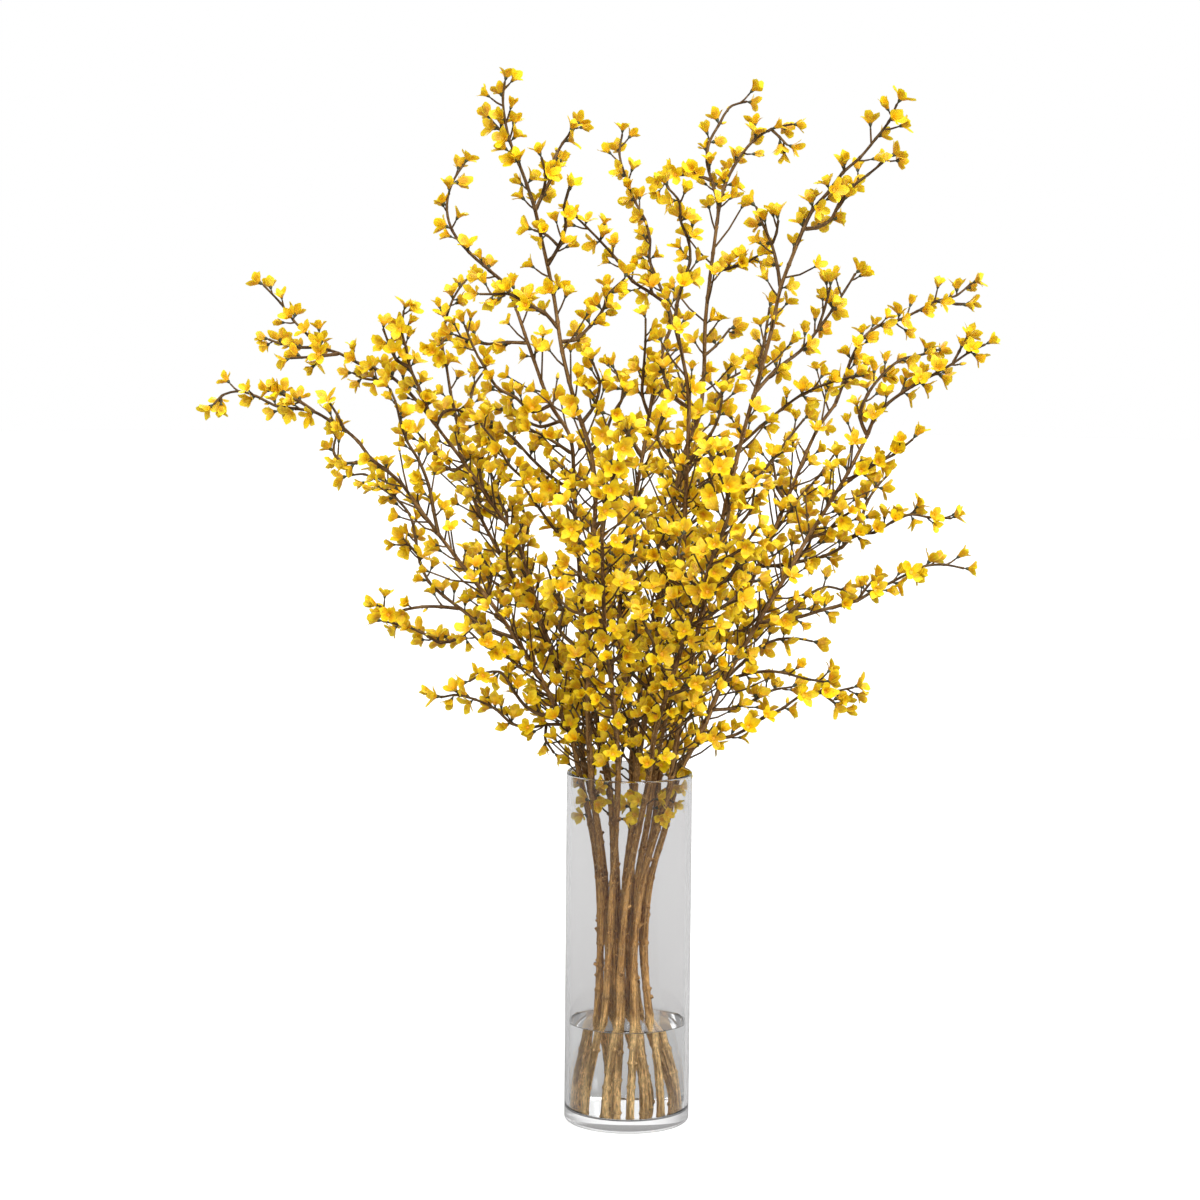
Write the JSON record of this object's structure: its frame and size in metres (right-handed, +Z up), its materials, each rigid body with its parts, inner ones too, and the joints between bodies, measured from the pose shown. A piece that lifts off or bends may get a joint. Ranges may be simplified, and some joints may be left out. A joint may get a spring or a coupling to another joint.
{
  "type": "glass vase of forsythia branches",
  "caption": "Flowering forsythia branches standing in water in a tall clear glass cylinder vase, a floral decoration that rests on its flat base.",
  "frame": {"origin": "centre of the vase's flat underside", "axes": "+Z up along the vase's axis, -Y towards the viewer at the front, +X to the viewer's right"},
  "size_m": [0.9519, 0.741, 1.2598],
  "materials": {
    "glass": "clear polished",
    "water": "clear water",
    "forsythia": "matte bark and soft yellow petals"
  },
  "bodies": {
    "root": {"glass_vase": "glass", "water": "water", "branch_far_left": "forsythia", "branch_high_left": "forsythia", "branch_back_left": "forsythia", "branch_tall_back_left": "forsythia", "branch_tallest": "forsythia", "branch_back_centre": "forsythia", "branch_front_centre": "forsythia", "branch_centre": "forsythia", "branch_tall_right": "forsythia", "branch_back_right": "forsythia", "branch_far_right": "forsythia", "branch_front_left": "forsythia", "branch_front_right": "forsythia", "branch_back": "forsythia"}
  },
  "joints": []
}
